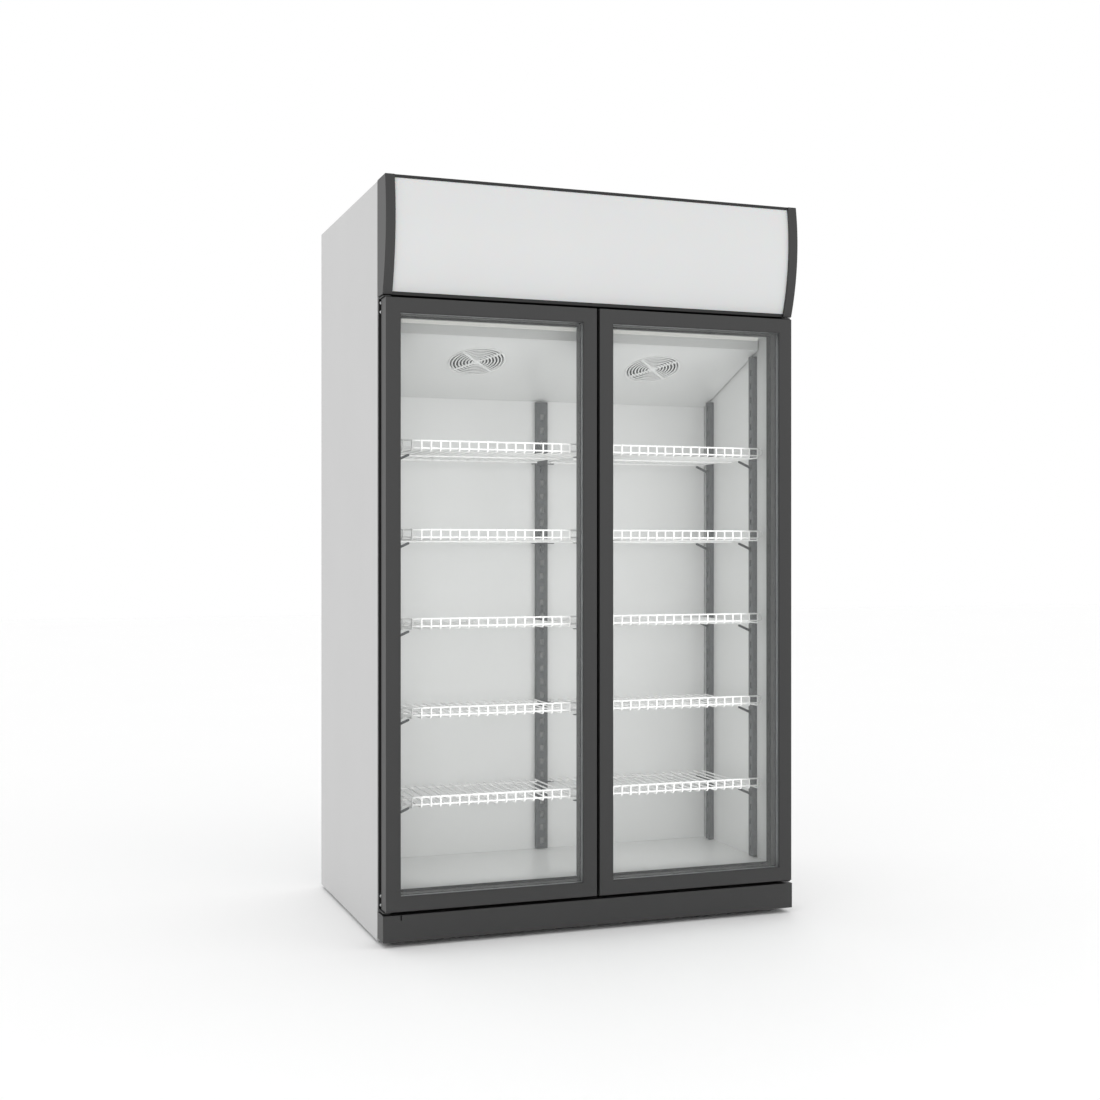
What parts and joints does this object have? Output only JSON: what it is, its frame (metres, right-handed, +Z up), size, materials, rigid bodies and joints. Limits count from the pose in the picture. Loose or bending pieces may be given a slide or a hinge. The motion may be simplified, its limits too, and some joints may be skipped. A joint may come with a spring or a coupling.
{
  "type": "glass door merchandiser",
  "caption": "Upright refrigerated display cabinet with hinged glass doors, wire shelves, a lit sign canopy and a roof-mounted cooling unit.",
  "frame": {"origin": "on the floor in the middle of the footprint, under the centre of the bounding box", "axes": "+Z up, doors face -Y, +X to the right seen from the front"},
  "size_m": [1.2, 0.83, 2.015],
  "materials": {
    "cabinet_paint": "satin powder coat",
    "dark_frame": "satin dark grey",
    "black_surround": "matte black",
    "liner_white": "white coated sheet",
    "foam": "closed cell foam",
    "galvanised_steel": "galvanised",
    "standard_grey": "grey zinc plate",
    "shelf_wire": "white plastic-coated wire",
    "clip_steel": "zinc plated",
    "door_glass": "clear",
    "spacer_aluminium": "mill finish",
    "gasket_rubber": "soft, black",
    "sign_acrylic": "translucent white",
    "lamp_white": "diffuser",
    "fan_plastic": "moulded",
    "guard_plastic": "moulded white",
    "motor_paint": "satin",
    "compressor_paint": "gloss black",
    "coil_aluminium": "finned",
    "pipe_copper": "drawn tube",
    "control_plastic": "moulded",
    "switch_plastic": "moulded",
    "plated_steel": "zinc plated",
    "bracket_black": "satin black"
  },
  "bodies": {
    "cabinet": {"base_frame": "galvanised_steel", "cable_gland": "switch_plastic", "canopy_end_cap_left": "dark_frame", "canopy_end_cap_right": "dark_frame", "canopy_rails": "black_surround", "canopy_tray": "galvanised_steel", "centre_mullion": "black_surround", "compressor": "compressor_paint", "condenser_coil": "coil_aluminium", "condenser_shroud": "galvanised_steel", "control_box": "control_plastic", "drain_tray": "galvanised_steel", "duct_panel": "liner_white", "evaporator_coil": "coil_aluminium", "evaporator_cover": "liner_white", "fan_guards": "guard_plastic", "fan_motors": "motor_paint", "front_surround": "black_surround", "hinge_brackets": "bracket_black", "hinge_pins": "plated_steel", "hinge_screws": "plated_steel", "inner_liner": "liner_white", "insulation_foam": "foam", "kick_plate": "dark_frame", "led_lamps": "lamp_white", "machine_deck": "galvanised_steel", "rear_panel": "galvanised_steel", "refrigerant_pipes": "pipe_copper", "shelf_clips": "clip_steel", "shelf_left_1": "shelf_wire", "shelf_left_2": "shelf_wire", "shelf_left_3": "shelf_wire", "shelf_left_4": "shelf_wire", "shelf_left_5": "shelf_wire", "shelf_right_1": "shelf_wire", "shelf_right_2": "shelf_wire", "shelf_right_3": "shelf_wire", "shelf_right_4": "shelf_wire", "shelf_right_5": "shelf_wire", "shelf_standards": "standard_grey", "side_panel_left": "cabinet_paint", "side_panel_right": "cabinet_paint", "sign_panel": "sign_acrylic", "top_panel": "cabinet_paint"},
    "condenser_fan_body": {"condenser_fan": "fan_plastic"},
    "door_left": {"door_left_frame": "dark_frame", "door_left_gasket": "gasket_rubber", "door_left_glass": "door_glass", "door_left_spacer": "spacer_aluminium"},
    "door_right": {"door_right_frame": "dark_frame", "door_right_gasket": "gasket_rubber", "door_right_glass": "door_glass", "door_right_spacer": "spacer_aluminium"},
    "evaporator_fan_left_body": {"evaporator_fan_left": "fan_plastic"},
    "evaporator_fan_right_body": {"evaporator_fan_right": "fan_plastic"},
    "foot_left_front_body": {"foot_left_front": "plated_steel"},
    "foot_left_rear_body": {"foot_left_rear": "plated_steel"},
    "foot_right_front_body": {"foot_right_front": "plated_steel"},
    "foot_right_rear_body": {"foot_right_rear": "plated_steel"},
    "power_switch_body": {"power_switch": "switch_plastic"}
  },
  "joints": [
    {"name": "door_left_hinge", "type": "hinge", "parent": "cabinet", "child": "door_left", "pos_m": [-0.587, -0.372, 0.8965], "axis": [0, 0, -1], "range_deg": [0, 115]},
    {"name": "door_right_hinge", "type": "hinge", "parent": "cabinet", "child": "door_right", "pos_m": [0.587, -0.372, 0.8965], "axis": [0, 0, 1], "range_deg": [0, 115]},
    {"name": "evaporator_fan_left_spin", "type": "hinge", "parent": "cabinet", "child": "evaporator_fan_left_body", "pos_m": [-0.27, -0.14017, 1.57144], "axis": [0, 0.3511, 0.9363], "continuous": true},
    {"name": "evaporator_fan_right_spin", "type": "hinge", "parent": "cabinet", "child": "evaporator_fan_right_body", "pos_m": [0.27, -0.14017, 1.57144], "axis": [0, 0.3511, 0.9363], "continuous": true},
    {"name": "condenser_fan_spin", "type": "hinge", "parent": "cabinet", "child": "condenser_fan_body", "pos_m": [0.15, -0.192, 1.858], "axis": [0, 1, 0], "continuous": true},
    {"name": "foot_left_front_height", "type": "slide", "parent": "cabinet", "child": "foot_left_front_body", "axis": [0, 0, -1], "range_m": [0, 0.025]},
    {"name": "foot_left_rear_height", "type": "slide", "parent": "cabinet", "child": "foot_left_rear_body", "axis": [0, 0, -1], "range_m": [0, 0.025]},
    {"name": "foot_right_front_height", "type": "slide", "parent": "cabinet", "child": "foot_right_front_body", "axis": [0, 0, -1], "range_m": [0, 0.025]},
    {"name": "foot_right_rear_height", "type": "slide", "parent": "cabinet", "child": "foot_right_rear_body", "axis": [0, 0, -1], "range_m": [0, 0.025]},
    {"name": "power_switch_rock", "type": "hinge", "parent": "cabinet", "child": "power_switch_body", "pos_m": [0.47, 0.4038, 1.764], "axis": [-1, 0, 0], "range_deg": [0, 14]}
  ]
}
